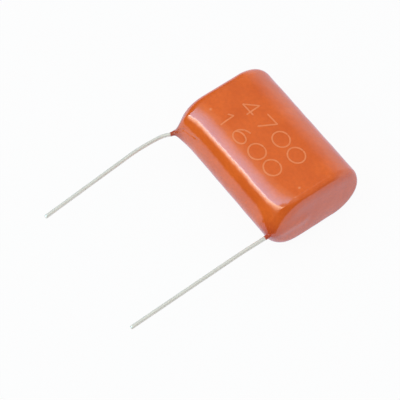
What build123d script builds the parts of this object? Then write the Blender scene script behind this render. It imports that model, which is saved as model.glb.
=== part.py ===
"""Polyester film capacitor with wire leads, lying on its flat back.

A roll of metallised film is pressed flat, metal is sprayed on both of its ends, a tinned wire is
welded to each sprayed end, and the whole is dipped in epoxy that runs a little way out along the wires.

Frame: X runs from the left lead to the right lead, Y from the leads to the closed side, Z up.
The origin is the centre of the flat back, which lies on Z = 0. All lengths are in millimetres.
"""

import os

from build123d import *

# Film winding, a flat-sided roll
film_width = 20.8
winding_height = 14.9
winding_thickness = 8.6

# Sprayed contact layer on each end of the winding
spray_thickness = 0.5

# Wire of both leads, and its seat in the sprayed layer
lead_diameter = 0.6
weld_depth = 0.15
weld_run = 6.3
tip_chamfer = 0.06

# Left lead past the winding: straight runs between three bends; headings in degrees outward from -Y
left_exit_run = 1.47
left_splay_run = 0.16
left_crest_run = 0.13
left_tip_run = 15.4
left_splay_heading = 25.0
left_crest_heading = 4.5
left_tip_heading = -5.4
left_exit_bend_radius = 1.5
left_splay_bend_radius = 4.0
left_crest_bend_radius = 32.0

# Right lead past the winding: straight runs on both sides of one slight bend
right_exit_run = 3.29
right_tip_run = 17.5
right_tip_heading = 2.05
right_bend_radius = 120.0

# Epoxy coat
coat_thickness = 0.7
end_cover = 0.65
end_bulge = 0.2
end_edge_radius = 1.7

# Resin flares: trumpets around the leads, widest at the root inside the coat
flare_skin = 0.07
flare_inset = 0.25
left_flare_reach = 1.28
left_flare_root = 1.6
left_flare_spread = 5.5
left_flare_rise = 3.2
right_flare_reach = 0.5
right_flare_root = 1.8
right_flare_spread = 1.6
right_flare_rise = 1.4

# A flare's sections from tip to root: depth, spread inward, spread upward, spread towards the body's end
flare_depth_shares = (0.0, 0.13, 0.25, 0.34, 0.41, 0.5, 0.7, 1.0)
flare_spread_shares = (0.0, 0.02, 0.07, 0.15, 0.3, 0.52, 0.78, 1.0)
flare_rise_shares = (0.0, 0.025, 0.08, 0.165, 0.28, 0.44, 0.7, 1.0)
flare_hug_shares = (0.0, 0.15, 0.42, 0.65, 0.8, 0.9, 0.97, 1.0)

# Sizes that follow from the drivers
lead_radius = lead_diameter / 2
lead_offset = film_width / 2 + spray_thickness - weld_depth + lead_radius
body_half_length = lead_offset + lead_radius + end_cover
body_height = winding_height + 2 * coat_thickness
body_thickness = winding_thickness + 2 * coat_thickness
mid_level = body_thickness / 2
flat_half_height = (winding_height - winding_thickness) / 2
coat_side = -body_height / 2
weld_top = weld_run - winding_height / 2
LEFT, RIGHT = -1, 1

os.makedirs("parts", exist_ok=True)


def bent_wire(side, runs, headings, radii):
    """A wire from its weld straight out of the winding, then bent to each heading in turn."""
    with BuildPart() as wire:
        with BuildLine() as path:
            start = Vector(side * lead_offset, weld_top, mid_level)
            stretch = Line(start, start - Vector(0, weld_run + runs[0], 0))
            heading = 0
            for run, next_heading, radius in zip(runs[1:], headings, radii):
                bend = JernArc(stretch @ 1, stretch % 1, radius, side * (next_heading - heading))
                stretch = Line(bend @ 1, bend @ 1 + run * (bend % 1))
                heading = next_heading
        with BuildSketch(Plane(path.wire() ^ 0)):
            Circle(lead_radius)
        sweep()
        chamfer(wire.faces().sort_by(Axis.Y)[0].edges(), length=tip_chamfer)
    return wire.part


def resin_flare(side, reach, root, spread, rise):
    """A trumpet of resin: a thin skin on the lead at its tip, widening back to its root in the coat."""
    tip_radius = lead_radius + flare_skin
    hug = body_half_length - flare_inset - lead_offset
    with BuildPart() as flare:
        for depth_share, spread_share, rise_share, hug_share in zip(
            flare_depth_shares, flare_spread_shares, flare_rise_shares, flare_hug_shares
        ):
            inward = tip_radius + spread_share * (spread - tip_radius)
            outward = tip_radius + hug_share * (hug - tip_radius)
            upward = tip_radius + rise_share * (rise - tip_radius)
            level = coat_side - reach + depth_share * (reach + root)
            with BuildSketch(Plane.XZ.offset(-level)):
                with Locations((side * (lead_offset + (outward - inward) / 2), mid_level)):
                    Ellipse((outward + inward) / 2, upward)
        loft()
    return flare.part


# Film winding
with BuildPart() as film_winding:
    with BuildSketch(Plane.YZ.offset(-film_width / 2)):
        with Locations((0, mid_level)):
            SlotOverall(winding_height, winding_thickness)
    extrude(amount=film_width)
film_winding.part.label = "film_winding"
export_step(film_winding.part, "parts/film_winding.step")

# Left lead, splayed as it leaves the coat and then bent back
left_lead = bent_wire(
    LEFT,
    (left_exit_run, left_splay_run, left_crest_run, left_tip_run),
    (left_splay_heading, left_crest_heading, left_tip_heading),
    (left_exit_bend_radius, left_splay_bend_radius, left_crest_bend_radius),
)
left_lead.label = "left_lead"
export_step(left_lead, "parts/left_lead.step")

# Right lead, almost straight
right_lead = bent_wire(
    RIGHT, (right_exit_run, right_tip_run), (right_tip_heading,), (right_bend_radius,)
)
right_lead.label = "right_lead"
export_step(right_lead, "parts/right_lead.step")

# End sprays, each grooved where its lead is welded in
end_sprays = []
for name, plane_offset, lead in (
    ("left_end_spray", -film_width / 2 - spray_thickness, left_lead),
    ("right_end_spray", film_width / 2, right_lead),
):
    with BuildPart() as end_spray:
        with BuildSketch(Plane.YZ.offset(plane_offset)):
            with Locations((0, mid_level)):
                SlotOverall(winding_height, winding_thickness)
        extrude(amount=spray_thickness)
        add(lead, mode=Mode.SUBTRACT)
    end_spray.part.label = name
    export_step(end_spray.part, f"parts/{name}.step")
    end_sprays.append(end_spray.part)

# Half section of the coat from mid level up: rounded end edges and slightly domed ends
end_edge = body_half_length - end_bulge
with BuildSketch() as coat_half:
    with BuildLine():
        left_dome = TangentArc((-body_half_length, 0), (-end_edge, mid_level), tangent=(0, 1))
        right_dome = TangentArc((body_half_length, 0), (end_edge, mid_level), tangent=(0, 1))
        Line(left_dome @ 0, right_dome @ 0)
        Line(left_dome @ 1, right_dome @ 1)
    make_face()
    fillet(coat_half.vertices().group_by(Axis.Y)[-1], radius=end_edge_radius)

# Resin drawn out along each lead
left_flare = resin_flare(LEFT, left_flare_reach, left_flare_root, left_flare_spread, left_flare_rise)
right_flare = resin_flare(
    RIGHT, right_flare_reach, right_flare_root, right_flare_spread, right_flare_rise
)

# Epoxy coating: the section drawn along the roll's flats and turned about both of its round sides,
# with the flares added and every piece inside cut out
roll_middle = Plane((0, 0, mid_level), x_dir=(1, 0, 0), z_dir=(0, -1, 0))
with BuildPart() as epoxy_coating:
    with BuildSketch(roll_middle):
        add(coat_half.sketch)
        mirror(about=Plane.XZ)
    extrude(amount=flat_half_height, both=True)
    for way in (-1, 1):
        round_middle = roll_middle.offset(way * flat_half_height)
        with BuildSketch(round_middle):
            add(coat_half.sketch)
        revolve(axis=Axis(round_middle.origin, (way, 0, 0)), revolution_arc=180)
    add([left_flare, right_flare])
    for inner in (film_winding.part, *end_sprays, left_lead, right_lead):
        add(inner, mode=Mode.SUBTRACT)
epoxy_coating.part.label = "epoxy_coating"
export_step(epoxy_coating.part, "parts/epoxy_coating.step")
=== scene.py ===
import math
from functools import reduce

import bpy
import numpy as np
from mathutils import Matrix, Vector


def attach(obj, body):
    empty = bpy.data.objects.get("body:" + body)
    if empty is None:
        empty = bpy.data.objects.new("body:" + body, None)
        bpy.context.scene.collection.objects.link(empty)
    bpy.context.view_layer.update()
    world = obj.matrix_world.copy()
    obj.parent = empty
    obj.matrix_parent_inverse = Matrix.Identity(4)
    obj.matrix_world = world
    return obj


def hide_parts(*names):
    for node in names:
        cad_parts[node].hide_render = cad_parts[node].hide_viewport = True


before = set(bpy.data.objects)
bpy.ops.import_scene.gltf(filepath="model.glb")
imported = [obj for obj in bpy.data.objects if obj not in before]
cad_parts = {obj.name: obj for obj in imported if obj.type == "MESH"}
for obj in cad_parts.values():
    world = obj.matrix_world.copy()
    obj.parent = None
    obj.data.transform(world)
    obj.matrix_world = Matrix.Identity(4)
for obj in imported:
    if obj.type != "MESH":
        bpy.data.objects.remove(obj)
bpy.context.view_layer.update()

# Sizes are in millimetres, in the frame of the solids; make_mesh turns them into metres
MM = 0.001

# Outer form of the coat, just inside the box of the solids
HALF_LENGTH = 12.0
THICKNESS = 9.98
MID = THICKNESS / 2
CLOSED_SIDE = 8.14
EDGE_RADIUS = 1.7
END_BULGE = 0.2

# Box and cell of the grid that the coat is meshed on
COAT_LOW = (-12.31, -10.08, -0.27)
COAT_HIGH = (12.32, 8.40, 10.25)
COAT_CELL = 0.16

# Newton steps that take the mesh's points onto the form that the shine follows
SHINE_ROUNDS = 14

# Upper edge of the right end, which leans in and set crisper than the other edges
CRISP_RADIUS = 0.45
CRISP_LEAN = 0.3
CRISP_DRAW = 0.74
CRISP_POWER = 8
CRISP_ALONG = (4.0, 9.0)
CRISP_UP = (MID - 3.0, MID + 2.5)

# Shoulder of the lead side: it draws in slowly along X, and by its own amounts at its right and left ends.
# The shine has other amounts than the shape there, because the mesh has to stay over the winding.
SHOULDER_TAPER = 0.013
SHOULDER_TAPER_START = -10.0
SHOULDER_SHAPE = (0.3, 0.0)
SHOULDER_SHINE = (1.35, -0.5)
SHOULDER_RIGHT_START = 7.0
SHOULDER_RIGHT_RUN = 4.0
SHOULDER_LEFT = (7.5, 11.0)
SHOULDER_ACROSS = (0.0, 4.5)
SHOULDER_UP = (MID - 0.1, MID + 3.7)

# Leads: axis, wire, and the winding's side that they leave
LEAD_MID = 5.0
LEAD_X = 11.05
LEAD_RADIUS = 0.3
WELD_TOP = -1.15
WINDING_SIDE = -7.45

# Straight run out of the winding, then legs of bend radius, heading in degrees and straight run
LEFT_EXIT = 1.47
LEFT_LEGS = ((1.5, 25.0, 0.16), (4.0, 4.5, 0.13), (32.0, -5.4, 15.4))
RIGHT_EXIT = 3.29
RIGHT_LEGS = ((120.0, 2.05, 17.5),)

# Spacing of the points along a lead
WELD_STATIONS = 24
BEND_STEP = 0.12
RUN_STEP = 0.4

# Wire: sides, drawing marks, and the tip that side cutters nipped
WIRE_SIDES = 28
WIRE_INSET = 0.004
WIRE_MARKS = 0.0035
WIRE_SHARP_ANGLE = 50.0
TIP_RUN = 0.5
TIP_STATIONS = 9
NIP_RUN = 0.28
NIP_NARROW = 0.1
NIP_FLAT = 0.42
NIP_SLANT = 0.03

# Resin webs round the leads
WEB_START = -7.35
WEB_OUTER_REACH = 0.25
WEB_FADE = (LEAD_X - 0.3, LEAD_X + 0.8)
SLEEVE_WALL = 0.03

# Slow waves that the resin set with: height, turns per millimetre along X, Y and Z, and phase
WAVES = (
    (0.0075, (0.17, 0.05, 0.04), 0.4),
    (0.0060, (0.26, -0.09, 0.11), 2.1),
    (0.0050, (-0.09, 0.21, 0.13), 4.4),
    (0.0045, (0.41, 0.16, -0.10), 1.3),
    (0.0040, (0.33, -0.36, 0.21), 5.2),
    (0.0014, (0.74, 0.31, 0.28), 3.1),
)

# Small blisters on the face: X, Y, reach and height
BLISTERS = ((-8.64, -3.93, 0.3, 0.035), (9.55, -1.64, 0.26, 0.035), (-2.6, 5.9, 0.2, 0.02))
BLISTER_FALL = 2.5
BLISTER_CORE = 0.05

# Faint ridges where the welded leads show through the ends
RIDGE_WIDTH = 0.9
RIDGE_ACROSS = (0.6, 2.6)
RIDGE_ALONG = (10.5, 11.5)
RIDGE_RIGHT = 0.15
RIDGE_LEFT = 0.045

# Corners of a fold beside the left lead, and where along X it runs out
FOLD = ((-10.4, -8.51, 5.8), (-9.85, -8.0, 6.69), (-7.38, -7.65, 7.15), (-6.3, -7.6, 7.25))
FOLD_DEPTH = 0.16
FOLD_WIDTH = 0.2
FOLD_FADE = (-8.9, -6.4)

# Plain numerals on the face
NUMERAL_WIDTH = 2.55
NUMERAL_HEIGHT = 2.45
NUMERAL_ADVANCE = 3.45
STROKE_HALF_WIDTH = 0.118
STROKE_RISE = 0.012
STROKE_STEP = 0.12
STROKE_LEAST_TAPER = 0.12

# Section of a stroke, all round: shares of its half width and of its rise
STROKE_SECTION_SHARES = ((-1.0, -0.03), (-0.8, 0.6), (0.0, 1.0), (0.8, 0.6), (1.0, -0.03), (0.0, -1.2))

# Rows of numerals: text, X and Y of its lower left corner, and tilt in degrees
NUMERAL_ROWS = (("4700", (-6.62, -0.42), 2.6), ("1600", (-6.98, -4.42), 2.4))


# Mesh helpers

def make_mesh(name, points, faces, normals=None):
    """A smooth-shaded object from points in millimetres."""
    mesh = bpy.data.meshes.new(name)
    mesh.from_pydata((np.asarray(points) * MM).tolist(), [], [list(map(int, f)) for f in faces])
    mesh.update()
    mesh.shade_smooth()
    if normals is not None:
        mesh.normals_split_custom_set_from_vertices(normals.tolist())
    made = bpy.data.objects.new(name, mesh)
    bpy.context.scene.collection.objects.link(made)
    return made


def steps_along(grid, axis, others=slice(None)):
    """Values of a grid at the first and second end of each step along an axis."""
    first = [others] * 3
    second = [others] * 3
    first[axis] = slice(0, -1)
    second[axis] = slice(1, None)
    return grid[tuple(first)], grid[tuple(second)]


def net_points(value, low, cell):
    """A point in each cell that the zero level crosses, and the points' numbers by cell."""
    cells = tuple(n - 1 for n in value.shape)
    total = np.zeros(cells + (3,))
    count = np.zeros(cells)
    for axis in range(3):
        a, b = steps_along(value, axis)
        crossing = (a < 0) != (b < 0)
        share = np.where(crossing, a / np.where(crossing, a - b, 1.0), 0.0)
        u, v = [i for i in range(3) if i != axis]
        for du in (0, 1):
            for dv in (0, 1):
                pick = [slice(None)] * 3
                pick[u] = slice(du, du + cells[u])
                pick[v] = slice(dv, dv + cells[v])
                hit = crossing[tuple(pick)]
                total[..., axis] += np.where(hit, share[tuple(pick)], 0.0)
                total[..., u] += hit * du
                total[..., v] += hit * dv
                count += hit
    active = count > 0
    number = np.full(cells, -1)
    number[active] = np.arange(active.sum())
    corner = np.stack(np.nonzero(active), -1)
    points = (corner + total[active] / count[active][:, None]) * cell + np.array(low)
    return points, number


def net_quads(inside, number):
    """A quad across each grid step that the zero level crosses, facing out."""
    quads = []
    for axis in range(3):
        u, v = ((1, 2), (2, 0), (0, 1))[axis]
        a, b = steps_along(inside, axis, slice(1, -1))
        base = np.stack(np.nonzero(a != b), -1)
        outward = a[tuple(base.T)]
        base[:, u] += 1
        base[:, v] += 1
        ring = []
        for du, dv in ((1, 1), (0, 1), (0, 0), (1, 0)):
            at = base.copy()
            at[:, u] -= du
            at[:, v] -= dv
            ring.append(number[tuple(at.T)])
        ring = np.stack(ring, -1)
        quads.append(np.where(outward[:, None], ring, ring[:, ::-1]))
    return np.concatenate(quads)


def gradient(field, points, step=0.004):
    """Slope of a field at points."""
    slope = np.empty_like(points)
    for axis in range(3):
        move = np.zeros(3)
        move[axis] = step
        slope[:, axis] = (field(*(points + move).T) - field(*(points - move).T)) / (2 * step)
    return slope


def settle(field, points, rounds, least_square=0.05, longest=0.1):
    """Moves points onto the zero level of a field by Newton steps of limited length."""
    for _ in range(rounds):
        slope = gradient(field, points)
        square = np.maximum((slope ** 2).sum(1), least_square)
        move = slope * (field(*points.T) / square)[:, None]
        length = np.linalg.norm(move, axis=1, keepdims=True)
        points = points - move * np.minimum(1.0, longest / np.maximum(length, 1e-9))
    return points


def even_out(points, quads):
    """Moves each point halfway to the mean of its neighbours."""
    near = np.zeros_like(points)
    degree = np.zeros(len(points))
    for i in range(4):
        a, b = quads[:, i], quads[:, (i + 1) % 4]
        np.add.at(near, a, points[b])
        np.add.at(near, b, points[a])
        np.add.at(degree, a, 1)
        np.add.at(degree, b, 1)
    return points + 0.5 * (near / degree[:, None] - points)


def surface(field, low, high, cell):
    """Points and quads of the zero level of a field, by surface nets."""
    axes = [np.arange(a, b + cell, cell) for a, b in zip(low, high)]
    value = field(*np.meshgrid(*axes, indexing="ij"))
    points, number = net_points(value, low, cell)
    quads = net_quads(value < 0, number)
    for _ in range(3):
        points = even_out(settle(field, points, 2), quads)
    return settle(field, points, 4), quads


# Lead routes

def lead_route(side, exit_run, legs):
    """Points of a lead's axis from its weld to its tip."""
    x = side * LEAD_X
    y = WINDING_SIDE - exit_run
    heading = 0.0
    points = [(x, weld_y) for weld_y in np.linspace(WELD_TOP, y, WELD_STATIONS)]
    for radius, turned, run in legs:
        start = math.radians(heading)
        turn = math.radians(turned - heading)
        way = math.copysign(1.0, turn)
        centre = (x + way * side * radius * math.cos(start), y + way * radius * math.sin(start))
        steps = max(4, int(abs(turn) * radius / BEND_STEP))
        for i in range(1, steps + 1):
            now = start + turn * i / steps
            x = centre[0] - way * side * radius * math.cos(now)
            y = centre[1] - way * radius * math.sin(now)
            points.append((x, y))
        heading = turned
        end = math.radians(heading)
        steps = max(2, int(run / RUN_STEP))
        for i in range(1, steps + 1):
            part = run * i / steps
            points.append((x + side * math.sin(end) * part, y - math.cos(end) * part))
        x, y = points[-1]
    return np.array([(px, py, LEAD_MID) for px, py in points])


left_route = lead_route(-1, LEFT_EXIT, LEFT_LEGS)
right_route = lead_route(1, RIGHT_EXIT, RIGHT_LEGS)

# Resin web of each lead: route, how fast it thins away from the body, its fillet, and its end along Y
WEBS = ((left_route, 3.8, 4.6, -9.43), (right_route, 2.6, 2.2, -8.77))


# Dipped coat

def line_distance(x, y, z, a, b):
    """Distance from points to the line between a and b."""
    along = np.subtract(b, a)
    part = ((x - a[0]) * along[0] + (y - a[1]) * along[1] + (z - a[2]) * along[2]) / (along @ along)
    part = np.clip(part, 0.0, 1.0)
    return np.sqrt(
        (x - a[0] - part * along[0]) ** 2
        + (y - a[1] - part * along[1]) ** 2
        + (z - a[2] - part * along[2]) ** 2
    )


def ease(value, low, high):
    """A smooth step from 0 to 1 between two levels."""
    part = np.clip((value - low) / (high - low), 0.0, 1.0)
    return part * part * (3.0 - 2.0 * part)


def melt(a, b, reach):
    """Union of two fields with a soft fillet."""
    mix = np.maximum(reach - np.abs(a - b), 0.0) / reach
    return np.minimum(a, b) - mix * mix * reach / 4


def shoulder_draw(x, y, z, ends):
    """How far the lead side's shoulder is drawn in; ends are its draw at the right and at the left."""
    near_end = np.clip(x - SHOULDER_RIGHT_START, 0.0, HALF_LENGTH - SHOULDER_RIGHT_START)
    drawn = ends[0] * (near_end / SHOULDER_RIGHT_RUN) ** 2 + ends[1] * ease(-x, *SHOULDER_LEFT)
    drawn = drawn + SHOULDER_TAPER * (x - SHOULDER_TAPER_START)
    return drawn * ease(-y, *SHOULDER_ACROSS) * ease(z, *SHOULDER_UP)


def plain_body(x, y, z, ends):
    """Field of the pressed body with its rounded edges, before waves, ridges and webs."""
    round_y = np.maximum(np.abs(y) + shoulder_draw(x, y, z, ends) - (CLOSED_SIDE - MID), 0.0)
    deep = np.hypot(round_y, z - MID)
    crisp = ease(x, *CRISP_ALONG) * ease(z, *CRISP_UP)
    edge = EDGE_RADIUS + (CRISP_RADIUS - EDGE_RADIUS) * crisp
    lean = crisp * (CRISP_LEAN + CRISP_DRAW * (deep / MID) ** CRISP_POWER)
    u = np.abs(x) - HALF_LENGTH + (END_BULGE * (deep / MID) ** 2 + lean) + edge
    v = deep - MID + edge
    inner = np.minimum(np.maximum(u, v), 0.0)
    return inner + np.hypot(np.maximum(u, 0.0), np.maximum(v, 0.0)) - edge


def webbed(body, x, y, z, route, pull, reach, end):
    """A body's field with resin drawn out along a lead, less on the side towards the body's end."""
    reach = reach + (WEB_OUTER_REACH - reach) * ease(np.abs(x), *WEB_FADE)
    shown = [p for p in route if end < p[1] < WEB_START]
    pieces = (line_distance(x, y, z, a, b) for a, b in zip(shown[:-1], shown[1:]))
    sleeve = reduce(np.minimum, pieces) - LEAD_RADIUS - SLEEVE_WALL
    return melt(np.where(body > 0, body * pull, body), sleeve, reach)


def coat(x, y, z, ends=SHOULDER_SHAPE):
    """Signed field of the dipped coat: below zero inside."""
    body = plain_body(x, y, z, ends)
    for height, turns, phase in WAVES:
        wave = np.sin(2 * math.pi * (turns[0] * x + turns[1] * y + turns[2] * z) + phase)
        body = body + height * (1.0 + wave)
    for bx, by, size, height in BLISTERS:
        apart = ((x - bx) ** 2 + (y - by) ** 2) / size ** 2
        body = body - np.where(z > MID, height * np.exp(-apart * BLISTER_FALL), 0.0)
    ridge = np.exp(-(((z - MID) / RIDGE_WIDTH) ** 2))
    ridge = ridge * ease(-y, *RIDGE_ACROSS) * ease(np.abs(x), *RIDGE_ALONG)
    body = body - ridge * np.where(x > 0, RIDGE_RIGHT, RIDGE_LEFT)
    for web in WEBS:
        body = webbed(body, x, y, z, *web)
    depth = FOLD_DEPTH * (1.0 - ease(x, *FOLD_FADE))
    for a, b in zip(FOLD[:-1], FOLD[1:]):
        body = body + depth * np.exp(-((line_distance(x, y, z, a, b) / FOLD_WIDTH) ** 2))
    return body


def shine(x, y, z):
    """The coat's field with the shoulder that its shine follows."""
    return coat(x, y, z, SHOULDER_SHINE)


points, quads = surface(coat, COAT_LOW, COAT_HIGH, COAT_CELL)
facing = gradient(shine, settle(shine, points, SHINE_ROUNDS))
epoxy = make_mesh("epoxy_coat", points, quads, facing / np.linalg.norm(facing, axis=1, keepdims=True))
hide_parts("epoxy_coating")
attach(epoxy, "root")


# Leads

def wire(name, route):
    """A drawn wire along a route, cut off at its tip with side cutters."""
    steps = np.linalg.norm(np.diff(route, axis=0), axis=1)
    length = np.concatenate([[0.0], np.cumsum(steps)])
    tip = np.linspace(length[-1] - TIP_RUN, length[-1], TIP_STATIONS)
    stations = np.unique(np.concatenate([length[length < tip[0]], tip]))
    centre = np.stack([np.interp(stations, length, route[:, i]) for i in range(3)], -1)
    ahead = np.gradient(centre, axis=0)
    ahead /= np.linalg.norm(ahead, axis=1, keepdims=True)
    up = np.array([0.0, 0.0, 1.0])
    points = []
    for s, c, d in zip(stations, centre, ahead):
        across = np.cross(d, up)
        nip = max(0.0, 1.0 - (length[-1] - s) / NIP_RUN)
        flat = 1.0 - NIP_FLAT * nip ** 1.5
        for i in range(WIRE_SIDES):
            turn = 2 * math.pi * i / WIRE_SIDES
            mark = WIRE_MARKS * math.sin(3 * turn + 0.9 * s) * math.sin(1.7 * s + turn)
            radius = (LEAD_RADIUS - WIRE_INSET + mark) * (1.0 - NIP_NARROW * nip)
            slant = -NIP_SLANT * nip * (1.0 + math.cos(turn))
            points.append(
                c + across * radius * math.cos(turn) + up * radius * flat * math.sin(turn) + d * slant
            )
    faces = []
    for first in range(0, len(points) - WIRE_SIDES, WIRE_SIDES):
        second = first + WIRE_SIDES
        for i in range(WIRE_SIDES):
            j = (i + 1) % WIRE_SIDES
            faces.append((first + i, second + i, second + j, first + j))
    faces.append(list(range(WIRE_SIDES)))
    faces.append(list(range(len(points) - WIRE_SIDES, len(points)))[::-1])
    made = make_mesh(name, points, faces)
    made.data.set_sharp_from_angle(angle=math.radians(WIRE_SHARP_ANGLE))
    return made


left_wire = wire("left_wire", left_route)
right_wire = wire("right_wire", right_route)
for piece, node in ((left_wire, "left_lead"), (right_wire, "right_lead")):
    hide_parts(node)
    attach(piece, "root")


# Numerals

def bow(centre, size, start, end, steps):
    """Points on an ellipse, angles in degrees."""
    return [
        (centre[0] + size[0] * math.cos(math.radians(a)), centre[1] + size[1] * math.sin(math.radians(a)))
        for a in np.linspace(start, end, steps)
    ]


# Strokes of each numeral in a box one wide and one high
NUMERALS = {
    "0": [bow((0.5, 0.5), (0.55, 0.5), 90, 450, 40)],
    "1": [[(0.22, 0.78), (0.52, 1.0), (0.52, 0.0)]],
    "4": [[(0.70, 0.0), (0.70, 1.0), (0.02, 0.30), (0.98, 0.30)]],
    "6": [bow((0.78, 0.36), (0.74, 0.64), 96, 180, 16) + bow((0.5, 0.31), (0.46, 0.31), 178, 540, 34)],
    "7": [[(0.04, 1.0), (0.94, 1.0), (0.34, 0.0)]],
}


def on_face(x, y):
    """Height of the coat's upper face over points in plan."""
    z = np.full(len(x), THICKNESS)
    for _ in range(6):
        z = z - coat(x, y, z)
    return z


def stroke_path(stroke, place, origin, turn):
    """Points along a stroke in plan, the way across it, and its share of the full width at each point."""
    box = np.array(stroke) * (NUMERAL_WIDTH, NUMERAL_HEIGHT) + (place * NUMERAL_ADVANCE, 0.0)
    x = origin[0] + box[:, 0] * math.cos(turn) - box[:, 1] * math.sin(turn)
    y = origin[1] + box[:, 0] * math.sin(turn) + box[:, 1] * math.cos(turn)
    corners = np.stack([x, y], -1)
    run = np.concatenate([[0.0], np.cumsum(np.linalg.norm(np.diff(corners, axis=0), axis=1))])
    at = np.unique(np.concatenate([run, np.arange(0.0, run[-1], STROKE_STEP)]))
    line = np.stack([np.interp(at, run, corners[:, i]) for i in range(2)], -1)
    ahead = np.gradient(line, axis=0)
    ahead /= np.maximum(np.linalg.norm(ahead, axis=1, keepdims=True), 1e-9)
    across = np.stack([-ahead[:, 1], ahead[:, 0]], -1)
    to_end = np.minimum(at, at[-1] - at)
    taper = np.sqrt(np.clip(to_end / STROKE_HALF_WIDTH, STROKE_LEAST_TAPER, 1.0))
    return line, across, taper


def numerals(name, rows):
    """Raised ribbons of ink, each closed all round."""
    points, faces = [], []
    around = len(STROKE_SECTION_SHARES)
    for text, origin, tilt in rows:
        strokes = [(place, stroke) for place, sign in enumerate(text) for stroke in NUMERALS[sign]]
        for place, stroke in strokes:
            line, across, taper = stroke_path(stroke, place, origin, math.radians(tilt))
            start = len(points)
            count = len(line)
            for aside, rise in STROKE_SECTION_SHARES:
                edge = line + across * (aside * STROKE_HALF_WIDTH * taper)[:, None]
                z = on_face(edge[:, 0], edge[:, 1]) + STROKE_RISE * rise
                points.extend(np.column_stack([edge, z]))
            for r in range(around):
                for i in range(count - 1):
                    a = start + r * count + i
                    b = start + (r + 1) % around * count + i
                    faces.append((a, a + 1, b + 1, b))
            faces.append([start + r * count for r in range(around)])
            faces.append([start + r * count + count - 1 for r in range(around)][::-1])
    return make_mesh(name, points, faces)


ink = numerals("face_numerals", NUMERAL_ROWS)
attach(ink, "root")


# Node helpers

def material(name):
    """A node material: its tree, its principled shader and its object coordinates."""
    made = bpy.data.materials.new(name)
    made.use_nodes = True
    tree = made.node_tree
    shader = next(n for n in tree.nodes if n.type == "BSDF_PRINCIPLED")
    place = tree.nodes.new("ShaderNodeTexCoord").outputs["Object"]
    return made, tree, shader, place


def noise(tree, place, scale, detail=3.0, stretch=None):
    """Noise between 0 and 1 over object coordinates."""
    if stretch:
        mapping = tree.nodes.new("ShaderNodeMapping")
        mapping.inputs["Scale"].default_value = stretch
        tree.links.new(place, mapping.inputs["Vector"])
        place = mapping.outputs["Vector"]
    node = tree.nodes.new("ShaderNodeTexNoise")
    node.inputs["Scale"].default_value = scale
    node.inputs["Detail"].default_value = detail
    tree.links.new(place, node.inputs["Vector"])
    return node.outputs["Fac"]


def spread(tree, value, low, high, to_low=0.0, to_high=1.0):
    """A value stretched from one range to another, clamped."""
    node = tree.nodes.new("ShaderNodeMapRange")
    node.inputs["From Min"].default_value = low
    node.inputs["From Max"].default_value = high
    node.inputs["To Min"].default_value = to_low
    node.inputs["To Max"].default_value = to_high
    tree.links.new(value, node.inputs["Value"])
    return node.outputs["Result"]


def combine(tree, operation, first, second):
    """One value from two by a math operation; the second is a number or a socket."""
    node = tree.nodes.new("ShaderNodeMath")
    node.operation = operation
    tree.links.new(first, node.inputs[0])
    if isinstance(second, float):
        node.inputs[1].default_value = second
    else:
        tree.links.new(second, node.inputs[1])
    return node.outputs[0]


def blend(tree, amount, first, second):
    """A mix of two colours; each is a colour or a socket."""
    node = tree.nodes.new("ShaderNodeMix")
    node.data_type = "RGBA"
    tree.links.new(amount, node.inputs["Factor"])
    for socket, colour in ((node.inputs[6], first), (node.inputs[7], second)):
        if isinstance(colour, tuple):
            socket.default_value = (*colour, 1.0)
        else:
            tree.links.new(colour, socket)
    return node.outputs[2]


def nearness(tree, place, point, near, far):
    """One at a point, falling to zero away from it; distances in millimetres."""
    node = tree.nodes.new("ShaderNodeVectorMath")
    node.operation = "DISTANCE"
    node.inputs[1].default_value = tuple(c * MM for c in point)
    tree.links.new(place, node.inputs[0])
    return spread(tree, node.outputs["Value"], near * MM, far * MM, 1.0, 0.0)


def bump(tree, shader, height, strength, distance, under=None):
    """Bump on a shader's normal; returns the normal so that bumps can stack."""
    node = tree.nodes.new("ShaderNodeBump")
    node.inputs["Strength"].default_value = strength
    node.inputs["Distance"].default_value = distance * MM
    tree.links.new(height, node.inputs["Height"])
    if under is not None:
        tree.links.new(under, node.inputs["Normal"])
    tree.links.new(node.outputs["Normal"], shader.inputs["Normal"])
    return node.outputs["Normal"]


# Materials

# Painted highlight: a paler resin colour laid over the blisters
PAINTED_BLISTER_HIGHLIGHT = (0.96, 0.29, 0.10)

# Painted shade where the leads come out, as a darker resin colour: place, near and far reach, and colour
PAINTED_EXIT_SHADE = (
    ((-LEAD_X, -9.15, LEAD_MID), 0.4, 2.2, (0.50, 0.070, 0.020)),
    ((LEAD_X, -8.55, LEAD_MID), 0.3, 2.9, (0.56, 0.058, 0.012)),
)


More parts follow.
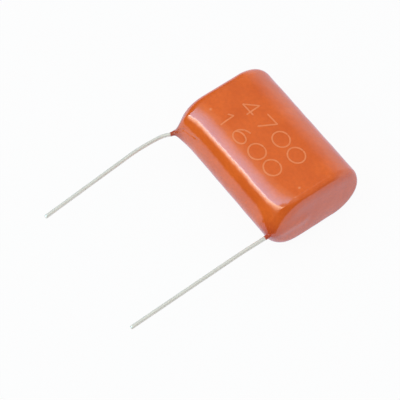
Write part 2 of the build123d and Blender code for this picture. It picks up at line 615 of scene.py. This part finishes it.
def epoxy_material():
    """Glossy orange resin, a little clouded and grained, with painted highlights over the blisters and
    painted shade round the lead exits.
    """
    made, tree, shader, place = material("dipped_epoxy")
    cloud = spread(tree, noise(tree, place, 210.0, 4.0), 0.32, 0.68)
    grain = spread(tree, noise(tree, place, 1900.0, 3.0), 0.35, 0.65)
    colour = blend(tree, cloud, (0.83, 0.129, 0.012), (0.94, 0.163, 0.018))
    colour = blend(tree, spread(tree, grain, 0.0, 1.0, 0.0, 0.3), colour, (0.70, 0.100, 0.010))
    # Painted highlight: lightens the resin over each blister
    for bx, by, size, _ in BLISTERS:
        blister_highlight = nearness(tree, place, (bx, by, THICKNESS), BLISTER_CORE, size)
        colour = blend(tree, blister_highlight, colour, PAINTED_BLISTER_HIGHLIGHT)
    # Painted shade: darkens the resin round each lead exit
    for point, near, far, dark in PAINTED_EXIT_SHADE:
        colour = blend(tree, nearness(tree, place, point, near, far), colour, dark)
    tree.links.new(colour, shader.inputs["Base Color"])
    tree.links.new(spread(tree, noise(tree, place, 700.0), 0.3, 0.7, 0.28, 0.4), shader.inputs["Roughness"])
    shader.inputs["IOR"].default_value = 1.5
    shader.inputs["Specular IOR Level"].default_value = 0.0
    shader.inputs["Coat Weight"].default_value = 1.0
    shader.inputs["Coat Roughness"].default_value = 0.14
    shader.inputs["Coat IOR"].default_value = 1.85
    peel = bump(tree, shader, noise(tree, place, 420.0, 1.0), 0.04, 0.02)
    bump(tree, shader, noise(tree, place, 4200.0, 2.0), 0.05, 0.004, peel)
    tree.links.new(peel, shader.inputs["Coat Normal"])
    return made


def ink_material():
    """Pale orange ink, worn a little unevenly."""
    made, tree, shader, place = material("pale_ink")
    worn = spread(tree, noise(tree, place, 1500.0, 4.0), 0.3, 0.7)
    tree.links.new(blend(tree, worn, (0.94, 0.23, 0.065), (0.97, 0.28, 0.095)), shader.inputs["Base Color"])
    tree.links.new(spread(tree, worn, 0.0, 1.0, 0.5, 0.36), shader.inputs["Roughness"])
    bump(tree, shader, noise(tree, place, 5200.0, 2.0), 0.15, 0.006)
    return made


def wire_material():
    """Dull tin with faint stains and drawing marks."""
    made, tree, shader, place = material("tinned_wire")
    stain = spread(tree, noise(tree, place, 420.0, 1.0), 0.3, 0.7)
    drawn = noise(tree, place, 1100.0, 1.0)
    tree.links.new(blend(tree, stain, (0.95, 0.88, 0.76), (0.99, 0.93, 0.81)), shader.inputs["Base Color"])
    shader.inputs["Metallic"].default_value = 0.3
    tree.links.new(spread(tree, drawn, 0.3, 0.7, 0.3, 0.4), shader.inputs["Roughness"])
    bump(tree, shader, drawn, 0.06, 0.006)
    return made


def film_material():
    """Metallised film, streaked along X by the turns of the roll."""
    made, tree, shader, place = material("metallised_film")
    turns = noise(tree, place, 1.0, 2.0, (40.0, 5200.0, 5200.0))
    cloud = spread(tree, noise(tree, place, 260.0), 0.3, 0.7)
    colour = blend(tree, spread(tree, turns, 0.3, 0.7), (0.50, 0.51, 0.52), (0.68, 0.69, 0.70))
    colour = blend(tree, spread(tree, cloud, 0.0, 1.0, 0.0, 0.25), colour, (0.62, 0.60, 0.56))
    tree.links.new(colour, shader.inputs["Base Color"])
    shader.inputs["Metallic"].default_value = 0.7
    tree.links.new(spread(tree, turns, 0.3, 0.7, 0.24, 0.4), shader.inputs["Roughness"])
    bump(tree, shader, turns, 0.2, 0.01)
    return made


def spray_material():
    """Rough grey zinc, as it is sprayed on."""
    made, tree, shader, place = material("sprayed_zinc")
    blobs = noise(tree, place, 3600.0, 5.0)
    colour = blend(tree, spread(tree, blobs, 0.32, 0.68), (0.36, 0.36, 0.355), (0.60, 0.60, 0.59))
    tree.links.new(colour, shader.inputs["Base Color"])
    shader.inputs["Metallic"].default_value = 0.85
    tree.links.new(spread(tree, blobs, 0.3, 0.7, 0.75, 0.5), shader.inputs["Roughness"])
    bump(tree, shader, blobs, 0.7, 0.05)
    return made


def dress(piece, made):
    """Gives a piece its one material."""
    piece.data.materials.clear()
    piece.data.materials.append(made)


resin = epoxy_material()
tin = wire_material()
zinc = spray_material()
for piece, made in (
    (epoxy, resin),
    (ink, ink_material()),
    (left_wire, tin),
    (right_wire, tin),
    (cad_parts["film_winding"], film_material()),
    (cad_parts["left_end_spray"], zinc),
    (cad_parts["right_end_spray"], zinc),
    (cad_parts["epoxy_coating"], resin),
    (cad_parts["left_lead"], tin),
    (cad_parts["right_lead"], tin),
):
    dress(piece, made)


# Floor and world

WHITE = (1.0, 1.0, 1.0)

# Tint of the studio in the coat's shine
COOL = (0.78, 0.82, 1.0)

FLOOR_HALF_SPAN = 60.0
FLOOR_DROP = 0.02
FLOOR_GREY = 0.62
FLOOR_WHITENESS = 0.95


def paper_material():
    """Paper that bounces light and holds a faint shadow, nearly white to the camera and in gloss."""
    made = bpy.data.materials.new("white_paper")
    made.use_nodes = True
    tree = made.node_tree
    tree.nodes.clear()
    matt = tree.nodes.new("ShaderNodeBsdfDiffuse")
    matt.inputs["Color"].default_value = (FLOOR_GREY, FLOOR_GREY, FLOOR_GREY, 1.0)
    glow = tree.nodes.new("ShaderNodeEmission")
    path = tree.nodes.new("ShaderNodeLightPath").outputs
    tree.links.new(blend(tree, path["Is Glossy Ray"], WHITE, COOL), glow.inputs["Color"])
    seen = combine(tree, "MAXIMUM", path["Is Camera Ray"], path["Is Glossy Ray"])
    seen = combine(tree, "MAXIMUM", seen, path["Is Transmission Ray"])
    both = tree.nodes.new("ShaderNodeMixShader")
    tree.links.new(combine(tree, "MULTIPLY", seen, FLOOR_WHITENESS), both.inputs["Fac"])
    tree.links.new(matt.outputs[0], both.inputs[1])
    tree.links.new(glow.outputs[0], both.inputs[2])
    out = tree.nodes.new("ShaderNodeOutputMaterial")
    tree.links.new(both.outputs[0], out.inputs["Surface"])
    return made


floor_corners = [
    (x * FLOOR_HALF_SPAN, y * FLOOR_HALF_SPAN, -FLOOR_DROP) for x, y in ((-1, -1), (1, -1), (1, 1), (-1, 1))
]
floor = make_mesh("floor", floor_corners, [range(4)])
dress(floor, paper_material())


def sky(tree, up, stops, tint):
    """A colour that changes with height above the horizon; stops are (sine of elevation, level)."""
    ramp = tree.nodes.new("ShaderNodeValToRGB")
    tree.links.new(spread(tree, up, -1.0, 1.0), ramp.inputs["Fac"])
    while len(ramp.color_ramp.elements) < len(stops):
        ramp.color_ramp.elements.new(0.5)
    for element, (height, level) in zip(ramp.color_ramp.elements, stops):
        element.position = (height + 1.0) / 2.0
        element.color = (*(level * part for part in tint), 1.0)
    return ramp.outputs["Color"]


def studio_world():
    """A soft fill for matt light, a studio for gloss to mirror, and plain white for the camera."""
    made = bpy.data.worlds.new("studio")
    made.use_nodes = True
    tree = made.node_tree
    tree.nodes.clear()
    split = tree.nodes.new("ShaderNodeSeparateXYZ")
    tree.links.new(tree.nodes.new("ShaderNodeTexCoord").outputs["Generated"], split.inputs[0])
    x, y, z = split.outputs
    # The fill is dimmer towards the lead side and evener towards the right end
    fill = sky(tree, z, ((-1.0, 0.5), (-0.1, 0.5), (0.1, 0.35), (0.5, 0.82), (1.0, 0.96)), WHITE)
    front = sky(tree, z, ((-1.0, 0.17), (0.1, 0.04), (0.5, 0.2), (1.0, 0.96)), WHITE)
    right = sky(tree, z, ((-1.0, 0.6), (0.1, 0.52), (0.35, 0.4), (0.6, 0.42), (1.0, 0.96)), WHITE)
    fill = blend(tree, spread(tree, y, 0.3, -0.6), fill, front)
    fill = blend(tree, spread(tree, x, 0.1, 0.6), fill, right)
    # Gloss mirrors a pale ground, a dark horizon, a pale sweep on the closed side and haze over the window
    horizon = ((-1.0, 0.95), (-0.14, 0.9), (-0.03, 0.05), (0.48, 0.05), (0.6, 0.18), (1.0, 0.18))
    sweep = combine(tree, "MULTIPLY", spread(tree, y, 0.3, 0.65), spread(tree, z, 0.9, 0.25))
    haze = combine(tree, "MULTIPLY", spread(tree, y, 0.22, -0.15), spread(tree, z, 0.6, 0.8))
    mirrored = blend(tree, sweep, sky(tree, z, horizon, COOL), (0.80, 0.90, 1.0))
    mirrored = blend(tree, haze, mirrored, (0.46, 0.60, 0.54))
    path = tree.nodes.new("ShaderNodeLightPath").outputs
    gloss = combine(tree, "MAXIMUM", path["Is Glossy Ray"], path["Is Transmission Ray"])
    light = blend(tree, gloss, fill, mirrored)
    light = blend(tree, path["Is Camera Ray"], light, WHITE)
    ground = tree.nodes.new("ShaderNodeBackground")
    tree.links.new(light, ground.inputs["Color"])
    out = tree.nodes.new("ShaderNodeOutputWorld")
    tree.links.new(ground.outputs[0], out.inputs["Surface"])
    return made


bpy.context.scene.world = studio_world()


# Lamps and camera, in metres

TARGET = Vector((0.0, -0.004, 0.006))
LAMP_DISTANCE = 0.5
ALONG_X = Vector((1.0, 0.0, 0.0))

# Camera fitted to the outline in the photo: place in millimetres, angles in degrees
CAMERA_PLACE = (158.4097, -126.6725, 323.0819)
CAMERA_AZIMUTH = 54.1222
CAMERA_ELEVATION = 58.5016
CAMERA_LENS = 234.0
CAMERA_SENSOR = 36.0


def add_object(name, data, place, right, back):
    """A lamp or camera at a place, from its own X axis and the way that its back points."""
    made = bpy.data.objects.new(name, data)
    bpy.context.scene.collection.objects.link(made)
    axes = Matrix((right, back.cross(right), back)).transposed()
    made.matrix_world = Matrix.Translation(place) @ axes.to_4x4()
    return made


def softbox(name, toward, width, height, radiance, colour, fades):
    """A lamp that faces the object, its width along X; fades are its levels at both edges of its height."""
    lamp = bpy.data.lights.new(name, "AREA")
    lamp.shape = "RECTANGLE"
    lamp.size = width
    lamp.size_y = height
    lamp.energy = radiance * math.pi * width * height
    lamp.color = colour
    lamp.use_nodes = True
    tree = lamp.node_tree
    place = tree.nodes.new("ShaderNodeSeparateXYZ")
    tree.links.new(tree.nodes.new("ShaderNodeNewGeometry").outputs["Parametric"], place.inputs[0])
    emission = next(n for n in tree.nodes if n.type == "EMISSION")
    tree.links.new(spread(tree, place.outputs["Y"], 0.0, 1.0, *fades), emission.inputs["Strength"])
    away = Vector(toward).normalized()
    along = (ALONG_X - away * away.dot(ALONG_X)).normalized()
    add_object(name, lamp, TARGET + away * LAMP_DISTANCE, along, away)


def over_leads(turn, side):
    """Direction over the lead side by its turn above the horizon and its share along X."""
    rest = math.sqrt(1.0 - side * side)
    return (side, -rest * math.cos(math.radians(turn)), rest * math.sin(math.radians(turn)))


softbox("window", over_leads(55.5, -0.25), 0.37, 0.37, 4.2, (0.16, 0.62, 1.0), (1.0, 0.06))
softbox("ceiling", (0.0, 0.11, 1.0), 0.10, 0.26, 1.7, (1.0, 0.92, 0.8), (1.0, 0.3))
softbox("window_sill", over_leads(30.6, -0.09), 0.575, 0.11, 5.4, (1.0, 0.88, 0.68), (0.1, 1.3))

camera = bpy.data.cameras.new("camera")
camera.sensor_width = CAMERA_SENSOR
camera.lens = CAMERA_LENS
camera.clip_start = 0.01
camera.clip_end = 10.0
azimuth = math.radians(CAMERA_AZIMUTH)
elevation = math.radians(CAMERA_ELEVATION)
level = math.cos(elevation)
back = Vector((math.sin(azimuth) * level, -math.cos(azimuth) * level, math.sin(elevation)))
right = Vector((math.cos(azimuth), math.sin(azimuth), 0.0))
bpy.context.scene.camera = add_object("camera", camera, Vector(CAMERA_PLACE) * MM, right, back)
bpy.context.scene.view_settings.view_transform = "Standard"
